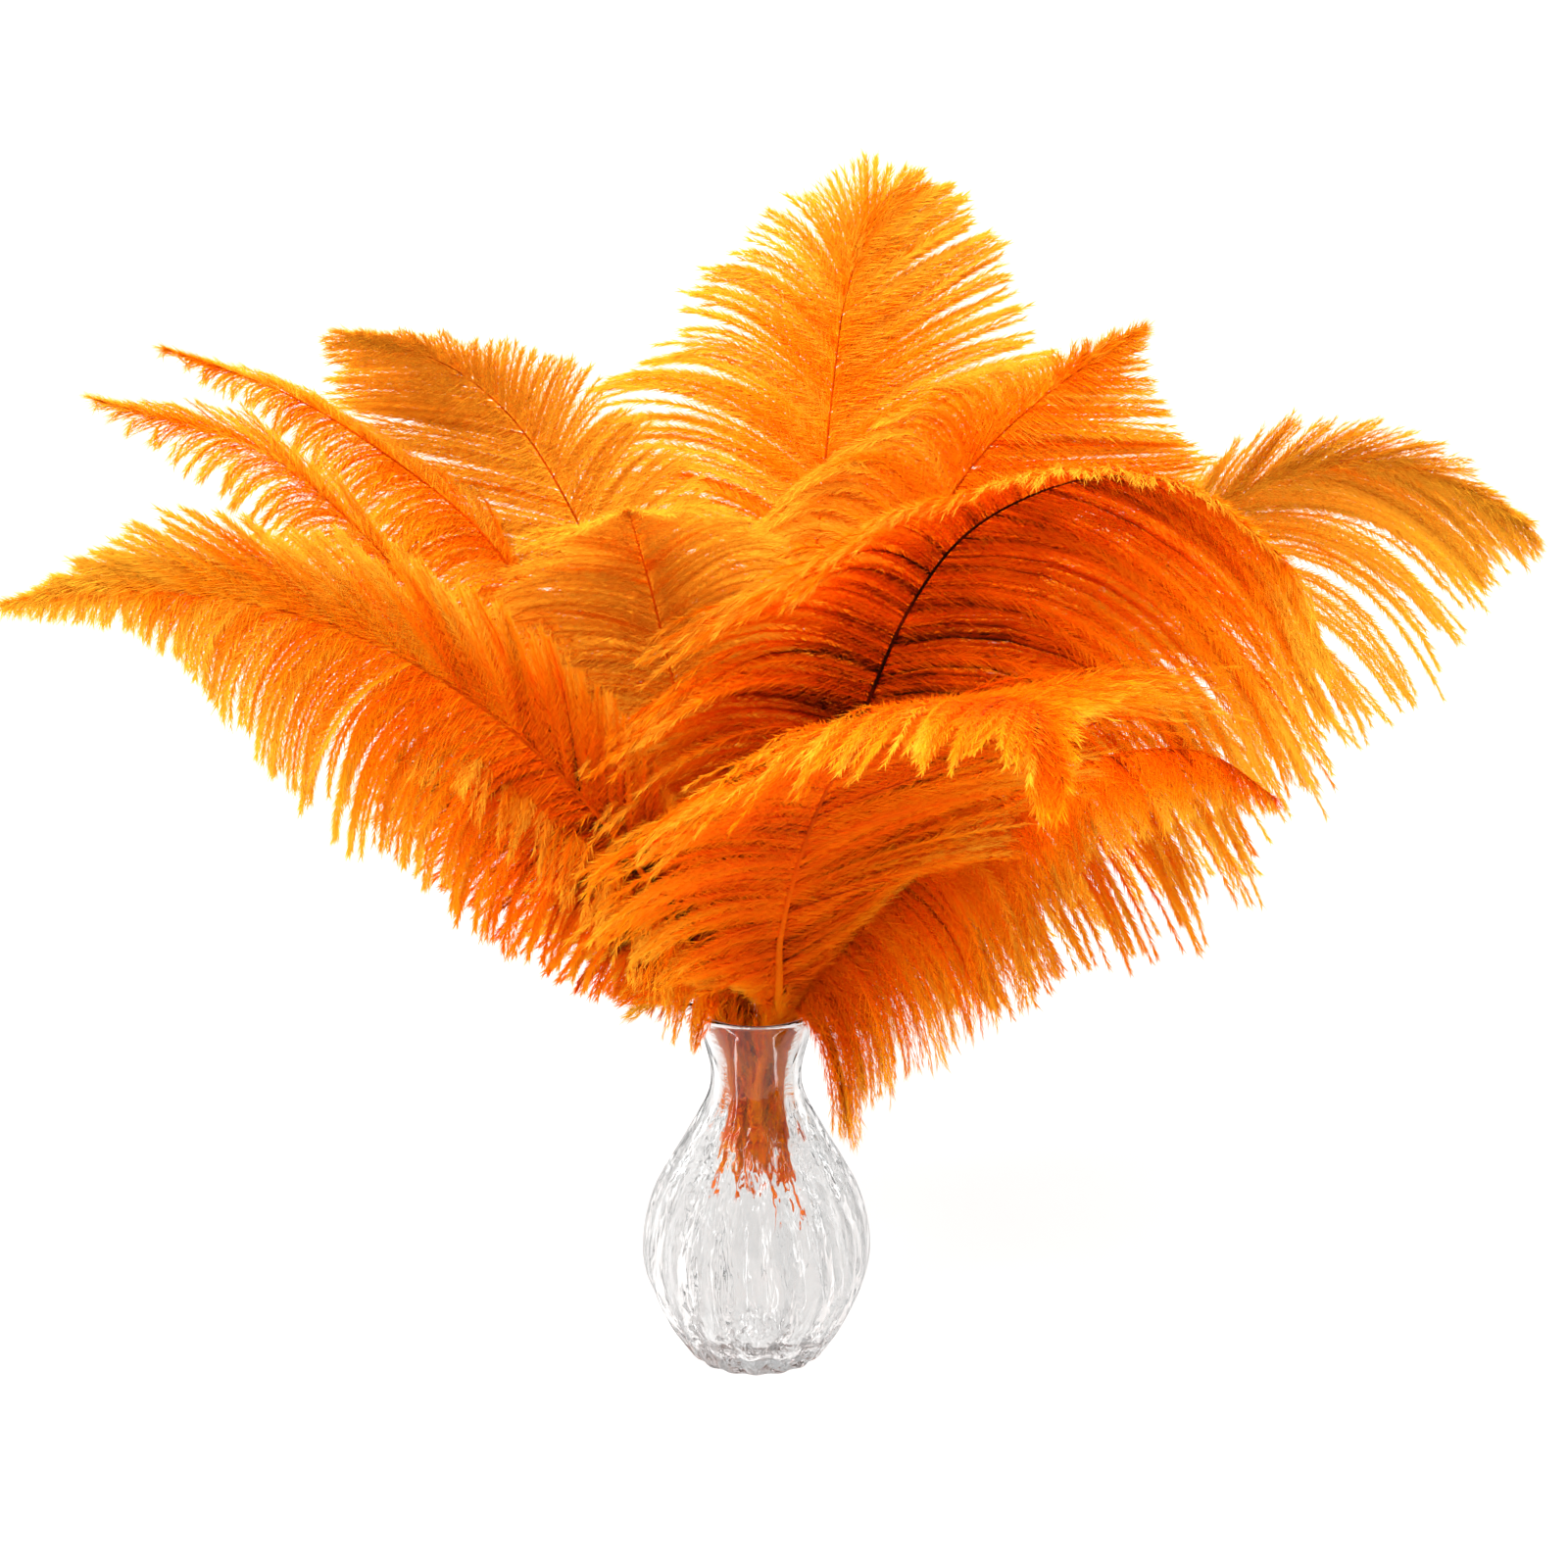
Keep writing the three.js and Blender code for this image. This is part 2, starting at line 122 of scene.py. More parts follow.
FEATHERS = {
    "feather_top": dict(
        quill=[(1, 7, 58), (1, 9, 100)],
        rachis=[(2, 14, 122), (6, 34, 158), (15, 63, 221), (22, 84, 278), (26, 98, 314), (31, 108, 346),
                (39, 111, 365), (50, 114, 376)],
        side=(1, 0.05, 0), barb=(81, 92), droop=(0.55, 0.2), curl=(0.3, 0.1), foot=(0.6, 0.8),
        tip=(0.74, 0.8), spacing=1.35, crowd=0.85, fill=1.45, cling=0.25, tone=0.71),
    # Its tone, past the palest dye, is partly painted light on a face that the key lamp only grazes.
    "feather_upper_left": dict(
        quill=[(-3, 6, 60), (-4.5, 7.8, 100)],
        rachis=[(-9, 19, 141), (-24, 34, 180), (-35, 46, 214), (-48, 56, 250), (-61, 60, 278),
                (-79, 58, 309), (-100, 50, 330), (-126, 36, 343)],
        side=(0.82, -0.5, 0), barb=(84, 49), droop=(0.15, 0.3), curl=(0.1, 0.2), foot=(0.9, 0.6),
        tip=(0.78, 0.65), spacing=1.4, crowd=0.9, fill=1.15, cling=0.4, tone=1.06),
    "feather_mid_left": dict(
        quill=[(0, 2.5, 66), (0, 3.6, 100)],
        rachis=[(-9, 2, 154), (-19, 0, 202), (-27, -4, 240), (-33, -14, 271), (-37, -32, 293),
                (-38, -56, 306)],
        side=(1, 0, 0), barb=(60, 48), droop=(0.7, 0.6), curl=(0.1, 0.3), cling=0.9, tone=0.94, shaft=0.5),
    "feather_left_high": dict(
        quill=[(-5, 1, 62), (-4, 1, 100)],
        rachis=[(-13, 6, 131), (-33, 24, 164), (-49, 36, 194), (-60, 42, 224), (-74, 46, 250),
                (-92, 46, 276), (-117, 42, 299), (-150, 34, 323), (-189, 20, 342)],
        side=(0, -1, 0), barb=(48, 52), fold=(-8, 35), droop=(0.6, 1.8), sweep=(0.8, 0.8), tip=(0.6, 0.35),
        cling=0.95, tone=0.66, rise=0.25),
    "feather_left_middle": dict(
        quill=[(-4, -2.5, 60), (-2.4, -3.4, 100)],
        rachis=[(-12, -8, 132), (-38, -14, 185), (-66, -18, 223), (-96, -22, 259), (-123, -26, 292),
                (-152, -30, 319), (-200, -36, 336)],
        side=(0.3, -1, 0), barb=(47, 52), fold=(-12, 20), droop=(0.1, 1.6), sweep=(0.6, 0.8),
        tip=(0.85, 0.6), cling=0.95, tone=0.66, rise=0.25),
    "feather_left_low": dict(
        quill=[(-8, -5, 56), (-7.4, -5.2, 100)],
        rachis=[(-13, -11, 130), (-44, -36, 195), (-79, -56, 240), (-117, -70, 269), (-159, -76, 284),
                (-197, -76, 287), (-226, -72, 281)],
        side=(0.5, 0.05, 0.65), barb=(59, 57), droop=(1.4, 0.2), curl=(0.8, 0), sweep=(0.95, 0.45),
        foot=(0.4, 0.4), taper=(0.6, 0.7), tip=(0.4, 0.34), limp=-2, crowd=0.75, cling=0.95, tone=0.54,
        rise=0.74, fade=0.4, shade=0.4),
    # Its tone, near the darkest dye, is painted shade: this feather fills the shadowed gaps under and behind
    # the lower ones.
    "feather_left_back": dict(
        quill=[(-8, 4.5, 64), (-8.6, 5, 100)],
        rachis=[(-10, 10, 125), (-28, 33, 144), (-52, 60, 156), (-80, 78, 167), (-106, 88, 176),
                (-125, 92, 177)],
        side=(0.5, -0.8, 0), barb=(50, 44), fold=(20, 20), droop=(0.2, 0.5), limp=-0.3, tone=0.08),
    "feather_upper_right": dict(
        quill=[(5, 6, 60), (5.4, 6.7, 100)],
        rachis=[(9, 20, 143), (26, 37, 201), (46, 51, 252), (72, 62, 294), (94, 64, 316), (126, 62, 340)],
        side=(0.85, 0.2, -0.5), barb=(60, 87), droop=(0.6, 0), curl=(1.1, 0), taper=(0.6, 0.7),
        tip=(0.32, 0.36), spacing=1.4, fill=1.15, cling=0.5, tone=0.65),
    "feather_middle_right": dict(
        quill=[(5, -1, 58), (3.6, -1, 100)],
        rachis=[(12, -6, 153), (25, -14, 203), (36, -22, 236), (49, -32, 270), (65, -42, 295),
                (87, -56, 312), (109, -74, 321), (132, -94, 320), (152, -110, 307)],
        side=(1, 0.22, 0), barb=(88, 143), droop=(1.1, 2.1), sweep=(1.2, 1), foot=(0.3, 0.2),
        taper=(0.4, 0.6), tip=(0.25, 0.85), spacing=1.1, fill=1.22, cling=0.4, tone=0.4, rise=0.4,
        fade=0.62, shaft=0),
    "feather_far_right": dict(
        quill=[(8, 2, 57), (8.7, 2.3, 100)],
        rachis=[(19, 10, 137), (48, 18, 179), (87, 24, 223), (125, 28, 261), (157, 28, 290), (183, 22, 302),
                (208, 12, 304), (241, -2, 293)],
        side=(0.5, 0.7, -0.4), barb=(44, 136), droop=(0.1, 1.15), sweep=(0.62, 0.9), taper=(0.6, 0.6),
        tip=(1.15, 0.6), spacing=1.15, crowd=0.88, fill=1.2, cling=0.3, tone=0.82, rise=0.5),
    "feather_front": dict(
        quill=[(2, -7, 62), (0.8, -9, 100)],
        rachis=[(7, -16, 130), (8, -42, 163), (12, -60, 188), (18, -76, 213), (26, -94, 235),
                (40, -114, 253), (55, -138, 268), (69, -164, 277), (79, -186, 279), (84, -204, 267)],
        side=(1, 0.5, 0), barb=(78, 92), droop=(0.65, 0.3), foot=(0.08, 0.4), taper=(0.3, 0.6),
        tip=(0.88, 0.36), limp=-1.2, spacing=1.25, fill=0.95, tone=0.41, rise=-0.1, fade=0.36, shade=0.1),
    "feather_right_low": dict(
        quill=[(8, -6, 48), (6.9, -5.8, 100)],
        rachis=[(11, -11, 125), (31, -19, 159), (57, -26, 187), (90, -32, 212), (117, -38, 224),
                (142, -42, 225), (164, -44, 211)],
        side=(0.2, 0.95, 0), barb=(61, 63), fold=(50, 50), droop=(1.2, 1.2), curl=(0.4, 0.4),
        foot=(0.8, 0.8), taper=(0.35, 0.35), tip=(0.5, 0.5), limp=3, spacing=0.95, crowd=1.7, tone=0.48,
        fade=0.48, shade=0.12),
}

SPLINE_STEPS = 40            # between two given points
CURVE_SAMPLES = 400
NECK_SAMPLES = 150           # the first ones, which hold the quill

RACHIS_SIDES = 7
RACHIS_RINGS = 80
# Radius of quill and rachis at shares of their length.
RACHIS_RADII = ([0, 0.02, 0.25, 0.45, 1], [0.3, 1.5, 1.5, 0.75, 0.12])
QUILL_TONE = 0.55
QUILL_END_TONE = 0.5
SHAFT_TONE_PLACES = [0.2, 0.5]   # between which the quill's tone turns into the shaft's

VANE_START = 129             # height above the table of the foot of every vane
# Length of the barbs along the vane above its foot, as a share of the longest.
VANE_OUTLINE = ([0.3, 0.65, 0.82, 0.94, 1], [1, 1, 0.75, 0.42, 0.15])
TAPER_PART = 0.25            # of the vane, over which a taper takes effect
BARB_STEPS = 8               # straight steps in each barb
BARB_WIDTH = 1.0             # with the barbules that lie flat against it, as a share of the spacing
BARB_WIDTHS = (0.7, 1.2)     # narrowest and widest barb, as shares of the usual
BARB_NARROWING = 0.9         # share of its width that a barb loses toward its end
BARB_ROLL = 0.4              # radians by which barbs turn round their own line
BARB_BEND = 1.2              # how much of the droop and curl a barb's end takes
BARB_WAVES = (0.012, 0.02)   # along the rachis and out of the vane, as shares of the length
BARB_WAVE_COUNTS = (0.5, 1.3)
BARB_STRAY = 0.014           # of a barb's end, as a share of the length
CLUMP_SIZES = (2, 7)         # neighbouring barbs whose ends cling together
CLUMP_PULLS = (0.2, 1)       # weakest and strongest, as shares of a feather's cling
CLUMP_PART = (0.5, 1.05)     # of a barb, over which it is drawn toward its clump
DROOP_ALONG = ([0.6, 1], [1, 0.5])   # the share of the droop that is left toward the feather's tip
CURL_ALONG = ([0.5, 1], [1, 0.3])
LIMP_PART = 0.2              # of the vane, above its foot
# The roots of the lowest barbs over this part get painted shade.
SHADE_PART = 0.35            # of the vane, above its foot
# How barbs differ, slowly along the vane and from each one to the next.
LENGTH_VARIATION = (0.06, 0.04)     # shares of the length
ANGLE_VARIATION = (1.3, 0.6)        # degrees
FOLD_VARIATION = (3, 3)             # degrees
DROOP_VARIATION = (0.1, 0.03)       # the slow one is a share of the droop
CURL_VARIATION = (0.05, 0.02)
TONE_VARIATION = (0.07, 0.08)
# One edge of each barb is painted darker, a painted shade, and the other paler, a painted sheen line.
BARB_EDGE_SHEEN_AND_SHADE = (-0.1, 0.2)       # added at the two edges of a barb

BARBULE_DENSITY = 1.08       # on each side of a barb, for each square millimetre of vane
BARBULE_LENGTH = 6.6
BARBULE_WIDTH = 0.36
BARBULE_LENGTHS = (0.6, 1.15)       # shortest and longest, as shares of the usual
BARBULE_ANGLE = 33           # degrees from the barb
BARBULE_ANGLE_VARIATION = 7
BARBULE_ANGLES = (8, 60)     # smallest and largest
BARBULE_CLOSING = 0.55       # share of its angle that a barbule loses toward the barb's end
BARBULE_SHORTENING = 0.35    # share of its length that it loses there
BARBULE_LEAN = 0.5           # radians by which barbules stand out of the vane
# Barbules are painted paler, most at their tips: a painted glow of thin, lit hair.
BARBULE_GLOW_TONES = (0.08, 0.4)  # added at a barbule's foot and tip

DOWN_STRANDS = 70            # on the quill of each feather, inside the neck
DOWN_START = 6               # above the lower end of the quill
DOWN_TOP = 128
DOWN_LENGTHS = (10, 24)
DOWN_ANGLES = (8, 30)        # degrees from the quill
DOWN_STEPS = 6
DOWN_WIDTH = 1.6
DOWN_HAIRS = 16              # on each side of a strand
DOWN_TONE = 0.4
DOWN_TONE_VARIATION = 0.12
BUNDLE_RADIUS = ([60, 75, 95, 108, 125, 140], [16, 12, 8.5, 9.5, 17, 24])   # at these heights

MOUTH_RADIUS = 15
MOUTH_CLEARANCE = 2          # between the rim and barbs that lie across the mouth
GLASS_CLEARANCE = 2.5        # between the glass and barbs that hang down its outside
SPARE_SHARE = 0.025          # of each side, by which barbs may pass the construction model's box
SPARE = 6                    # and this much more

# Colours of the dye along the tones. The tones also carry painted shade and painted light, which pick darker
# or paler dye colours.
DYE = ((0.0, (0.03, 0.006, 0.002, 1)), (0.15, (0.42, 0.03, 0.0, 1)), (0.32, (0.94, 0.13, 0.0, 1)),
       (0.5, (0.99, 0.21, 0.001, 1)), (0.75, (1.0, 0.35, 0.003, 1)), (1.0, (1.0, 0.56, 0.035, 1)))
MOTTLE_SCALE = 55
MOTTLE_DETAIL = 3
MOTTLE = 0.3                 # difference in tone between the darkest and the palest speck
GLOW_SHARE = 0.42            # of the light that goes through a barb
BARB_ROUGHNESS = 0.6
BARB_SPECULAR = 0.03

# ---- Studio sizes ----

CAMERA_TARGET = (9.3, 0, 202)
CAMERA_DISTANCE = 1250
CAMERA_ELEVATION = 17
HALF_FRAME = 256             # of the picture at the target
SENSOR = 36
# Lamps: direction they stand in, their spread in degrees and their power.
LAMPS = {
    "key": ((-0.42, -0.6, 1), 40, 5.5),
    "back": ((-0.1, 1, 0.75), 50, 3.1),
}
LAMP_COLOUR = (1, 0.88, 0.83)
FLOOR_HALF = 20              # metres
FLOOR_GREY = 0.25
FLOOR_GLOW = 0.65
# Brightness of the room's walls round the object, at shares of a turn: the left is 0, the camera's side 0.25,
# the right 0.5 and the back 0.75.
WALLS = ((0.0, 0.7), (0.05, 0.3), (0.083, 0.3), (0.09, 9), (0.1, 9), (0.107, 0.3), (0.25, 0.12),
         (0.38, 0.3), (0.393, 0.3), (0.4, 8), (0.41, 8), (0.417, 0.3), (0.45, 0.3), (0.5, 0.7),
         (0.58, 0.4), (0.6, 2.2), (0.64, 0.3), (0.75, 0.62), (0.84, 0.3), (0.88, 2.2), (1.0, 0.7))
DIFFUSE_BOUNCES = 2
GLASS_BOUNCES = 14


# ---- Curves ----

def unit(vectors):
    return vectors / np.linalg.norm(vectors, axis=-1, keepdims=True)


def smoothstep(low, high, value):
    share = np.clip((value - low) / (high - low), 0, 1)
    return share * share * (3 - 2 * share)


def spline(points, samples):
    """Centripetal Catmull-Rom curve through the points, as samples evenly spaced along its length."""
    points = np.array(points, float)
    padded = np.vstack([2 * points[0] - points[1], points, 2 * points[-1] - points[-2]])
    knots = np.sqrt(np.linalg.norm(np.diff(padded, axis=0), axis=1))
    dense = []
    for i in range(1, len(padded) - 2):
        p0, p1, p2, p3 = padded[i - 1:i + 3]
        k0, k1, k2 = knots[i - 1:i + 2]
        start = ((p1 - p0) / k0 - (p2 - p0) / (k0 + k1) + (p2 - p1) / k1) * k1
        end = ((p2 - p1) / k1 - (p3 - p1) / (k1 + k2) + (p3 - p2) / k2) * k1
        w = np.linspace(0, 1, SPLINE_STEPS, endpoint=i == len(padded) - 3)[:, None]
        dense.append(p1 * (2 * w**3 - 3 * w**2 + 1) + start * (w**3 - 2 * w**2 + w)
                     + p2 * (3 * w**2 - 2 * w**3) + end * (w**3 - w**2))
    dense = np.vstack(dense)
    travelled = np.r_[0, np.cumsum(np.linalg.norm(np.diff(dense, axis=0), axis=1))]
    places = np.linspace(0, travelled[-1], samples)
    curve = np.stack([np.interp(places, travelled, dense[:, axis]) for axis in range(3)], axis=1)
    return curve, travelled[-1]


class Rachis:
    """The middle line of one feather, with tangents, side vectors carried along without twist, and backs."""

    def __init__(self, feather):
        self.points, self.length = spline(feather["quill"] + feather["rachis"], CURVE_SAMPLES)
        self.tangents = unit(np.gradient(self.points, axis=0))
        side = np.array(feather["side"], float)
        self.sides = np.empty_like(self.tangents)
        for i, tangent in enumerate(self.tangents):
            side = unit(side - tangent * side.dot(tangent))
            self.sides[i] = side

    def at(self, share):
        """Points, tangents, sides and backs at these shares of the length."""
        place = np.asarray(share) * (CURVE_SAMPLES - 1)
        columns = []
        for values in (self.points, self.tangents, self.sides):
            columns.append(np.stack([np.interp(place, np.arange(CURVE_SAMPLES), values[:, i])
                                     for i in range(3)], axis=-1))
        points, tangents, sides = columns
        tangents = unit(tangents)
        sides = unit(sides)
        return points, tangents, sides, np.cross(tangents, sides)


# ---- Mesh pieces ----

class Soup:
    """Triangles gathered from many small shapes, with a tone for each corner."""

    def __init__(self):
        self.vertices = []
        self.triangles = []
        self.tones = []
        self.count = 0

    def add(self, vertices, triangles, tones):
        vertices = vertices.reshape(-1, 3)
        self.triangles.append(triangles.reshape(-1, 3) + self.count)
        self.vertices.append(vertices)
        self.tones.append(tones.reshape(-1))
        self.count += len(vertices)

    def mesh(self, name):
        vertices = np.vstack(self.vertices) * MM
        triangles = np.vstack(self.triangles)
        mesh = bpy.data.meshes.new(name)
        mesh.vertices.add(len(vertices))
        mesh.vertices.foreach_set("co", vertices.ravel())
        mesh.loops.add(triangles.size)
        mesh.loops.foreach_set("vertex_index", triangles.ravel())
        mesh.polygons.add(len(triangles))
        mesh.polygons.foreach_set("loop_start", np.arange(0, triangles.size, 3))
        mesh.polygons.foreach_set("use_smooth", np.ones(len(triangles), bool))
        mesh.update(calc_edges=True)
        tone = mesh.attributes.new("tone", "FLOAT", "POINT")
        tone.data.foreach_set("value", np.concatenate(self.tones))
        return mesh


def add_piece(name, mesh, material, node):
    piece = bpy.data.objects.new(name, mesh)
    bpy.context.scene.collection.objects.link(piece)
    mesh.materials.append(material)
    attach(piece, "root")
    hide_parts(node)
    return piece


# ---- Feathers ----

def add_rachis(soup, rachis, shaft_tone):
    """A round quill that tapers to a hair at the tip, closed at both ends."""
    shares = np.linspace(0, 1, RACHIS_RINGS)
    points, _, sides, backs = rachis.at(shares)
    radii = np.interp(shares, *RACHIS_RADII)
    turns = np.linspace(0, 2 * math.pi, RACHIS_SIDES, endpoint=False)
    around = np.cos(turns)[None, :, None] * sides[:, None] + np.sin(turns)[None, :, None] * backs[:, None]
    rings = points[:, None] + radii[:, None, None] * around
    vertices = np.vstack([rings.reshape(-1, 3), points[:1], points[-1:]])
    triangles = []
    for i in range(RACHIS_RINGS - 1):
        for k in range(RACHIS_SIDES):
            a = i * RACHIS_SIDES + k
            b = i * RACHIS_SIDES + (k + 1) % RACHIS_SIDES
            triangles += [(a, b, b + RACHIS_SIDES), (a, b + RACHIS_SIDES, a + RACHIS_SIDES)]
    first = RACHIS_RINGS * RACHIS_SIDES
    last_ring = first - RACHIS_SIDES
    for k in range(RACHIS_SIDES):
        following = (k + 1) % RACHIS_SIDES
        triangles += [(first, following, k), (first + 1, last_ring + k, last_ring + following)]
    ring_tones = np.interp(shares, SHAFT_TONE_PLACES, [QUILL_TONE, shaft_tone])
    tones = np.r_[np.repeat(ring_tones, RACHIS_SIDES), QUILL_END_TONE, shaft_tone]
    soup.add(vertices, np.array(triangles), tones)


def clump_leaders(count, rng):
    """For each barb, the index of the barb that its clump's ends follow."""
    leaders = np.empty(count, int)
    start = 0
    while start < count:
        end = min(count, start + rng.integers(*CLUMP_SIZES))
        leaders[start:end] = (start + end - 1) // 2
        start = end
    return leaders


def variation(amounts, count, rng, scale=5):
    """Random amounts along a row of barbs: slow ones, which change over `scale` barbs, plus quick ones."""
    slow, quick = amounts
    knots = rng.normal(size=int(count / scale) + 3)
    wander = np.interp(np.arange(count) / scale, np.arange(len(knots)), knots)
    return slow * wander + rng.normal(0, quick, count)


def grow(points, start, lengths, droops, curls, tangents, steps):
    """Barbs as chains of equal steps. They bend to the ground and back along the rachis, most at the end."""
    curve = np.empty((len(points), steps + 1, 3))
    curve[:, 0] = points
    for step in range(steps):
        share = BARB_BEND * ((step + 0.5) / steps) ** 1.4
        direction = start + droops[:, None] * share * DOWN - curls[:, None] * share * tangents
        curve[:, step + 1] = curve[:, step] + unit(direction) * (lengths / steps)[:, None]
    return curve


def barb_lengths(feather, index, along, rng):
    """Length of every barb on one side, from the outline of the vane."""
    places, shares = VANE_OUTLINE
    outline = np.interp(along, [0, *places], [feather["foot"][index], *shares])
    taper = feather["taper"][index]
    outline *= np.interp(along, [taper, taper + TAPER_PART], [1, feather["tip"][index]])
    return feather["barb"][index] * outline * (1 + variation(LENGTH_VARIATION, len(along), rng))


def barb_curves(feather, rachis, hand, rng):
    """Points of every barb on one side of the vane, as an array (barb, step, xyz), with the vane's backs,
    the barbs' places along it and their lengths."""
    index = 0 if hand < 0 else 1
    foot = np.argmax(rachis.points[:, 2] > VANE_START) / (CURVE_SAMPLES - 1)
    count = int(rachis.length * (1 - foot) / feather["spacing"])
    along = ((np.arange(count) + rng.uniform(0, 0.5, count)) / count) ** feather["crowd"]
    points, tangents, sides, backs = rachis.at(foot + (1 - foot) * along)
    lengths = barb_lengths(feather, index, along, rng)
    angles = np.interp(along, *BARB_ANGLE) * feather["sweep"][index]
    angles = np.radians(angles + variation(ANGLE_VARIATION, count, rng))
    folds = np.radians(feather["fold"][index] + variation(FOLD_VARIATION, count, rng, scale=8))
    droop = feather["droop"][index]
    slow, quick = DROOP_VARIATION
    droops = droop + variation((slow * droop, quick), count, rng)
    limps = np.interp(along, [0, LIMP_PART], [feather["limp"], 0])
    droops = droops * np.interp(along, *DROOP_ALONG) + limps
    curls = feather["curl"][index] * np.interp(along, *CURL_ALONG)
    curls = curls + variation(CURL_VARIATION, count, rng)
    start = (np.cos(angles)[:, None] * tangents
             + (hand * np.sin(angles) * np.cos(folds))[:, None] * sides
             - (np.sin(angles) * np.sin(folds))[:, None] * backs)
    curve = grow(points, start, lengths, droops, curls, tangents, BARB_STEPS)
    cling_to_clumps(curve, feather["cling"], rng)
    add_waves(curve, tangents, backs, lengths, rng)
    hang_outside_vase(curve)
    shorten_to_box(curve)
    return curve, backs, along, lengths


def cling_to_clumps(curve, cling, rng):
    """Draws the outer part of each barb toward its clump's leader."""
    leaders = clump_leaders(len(curve), rng)
    shares = np.linspace(0, 1, curve.shape[1])
    strength = cling * rng.uniform(*CLUMP_PULLS, len(curve))
    pull = strength[:, None] * smoothstep(*CLUMP_PART, shares)[None, :]
    curve += pull[:, :, None] * (curve[leaders] - curve)


def add_waves(curve, tangents, backs, lengths, rng):
    """Gives each barb its own slow wave, strongest at its end."""
    shares = np.linspace(0, 1, curve.shape[1])[None, :]
    for axis, size in zip((tangents, backs), BARB_WAVES):
        phase = rng.uniform(0, 2 * math.pi, (len(curve), 1))
        waves = rng.uniform(*BARB_WAVE_COUNTS, (len(curve), 1))
        offset = size * np.sin(phase + 2 * math.pi * waves * shares) * shares**1.3
        offset += rng.normal(0, BARB_STRAY, (len(curve), 1)) * shares**2
        curve += (offset * lengths[:, None])[:, :, None] * axis[:, None, :]


def hang_outside_vase(curve):
    """Lays barbs that sag onto the vase over its lip and down its outside."""
    reach = np.linalg.norm(curve[..., :2], axis=-1)
    radii, heights = zip(*OUTSIDE)
    wall = np.interp(curve[..., 2], heights, radii) + GLASS_CLEARANCE
    lowest = VASE_HEIGHT + MOUTH_CLEARANCE
    low = curve[..., 2] < lowest
    over_mouth = low & (reach < MOUTH_RADIUS)
    curve[..., 2] = np.where(over_mouth, lowest, curve[..., 2])
    push = np.where(low & ~over_mouth & (reach < wall), wall / np.maximum(reach, SMALL), 1)
    curve[..., :2] *= push[..., None]


def shorten_to_box(curve):
    """Shrinks the barbs that reach past the construction model's box, widened by a spare margin.
    Shrinks the barbs that reach past the largest size allowed for the bouquet.
    """
    low, high = np.array(cad_box) / MM
    spare = SPARE_SHARE * (high - low) + SPARE
    reach = curve - curve[:, :1]
    room = np.where(reach > 0, high + spare - curve[:, :1], curve[:, :1] - low + spare)
    shares = np.minimum(1, room / np.maximum(np.abs(reach), SMALL)).min(axis=(1, 2))
    curve[:] = curve[:, :1] + reach * shares[:, None, None]


def squeeze_into_bundle(curve):
    """Presses the down in the neck together round the quills, clear of the glass."""
    reach = np.linalg.norm(curve[..., :2], axis=-1)
    room = np.interp(curve[..., 2], *BUNDLE_RADIUS)
    curve[..., :2] *= np.minimum(1, room / np.maximum(reach, SMALL))[..., None]


def add_barb_shafts(soup, curve, normals, tones, width, rng):
    """A soft ribbon along each barb: the shaft with the barbules that lie flat against it."""
    count, rows, _ = curve.shape
    directions = unit(np.gradient(curve, axis=1))
    across = unit(np.cross(directions, normals[:, None, :]))
    roll = rng.normal(0, BARB_ROLL, (count, 1, 1))
    across = np.cos(roll) * across + np.sin(roll) * np.cross(across, directions)
    shares = np.linspace(0, 1, rows)
    narrowing = 1 - BARB_NARROWING * shares**2.5
    widths = width * narrowing[None, :] * rng.uniform(*BARB_WIDTHS, (count, 1))
    half = 0.5 * widths[:, :, None] * across
    vertices = np.stack([curve - half, curve + half], axis=2)
    first = np.arange(count)[:, None] * rows * 2 + np.arange(rows - 1)[None, :] * 2
    triangles = np.stack([np.stack([first, first + 1, first + 3], -1),
                          np.stack([first, first + 3, first + 2], -1)], axis=2)
    # painted shade along one edge of each ribbon and a painted sheen line along the other
    soup.add(vertices, triangles, np.stack([tones + edge for edge in BARB_EDGE_SHEEN_AND_SHADE], axis=2))


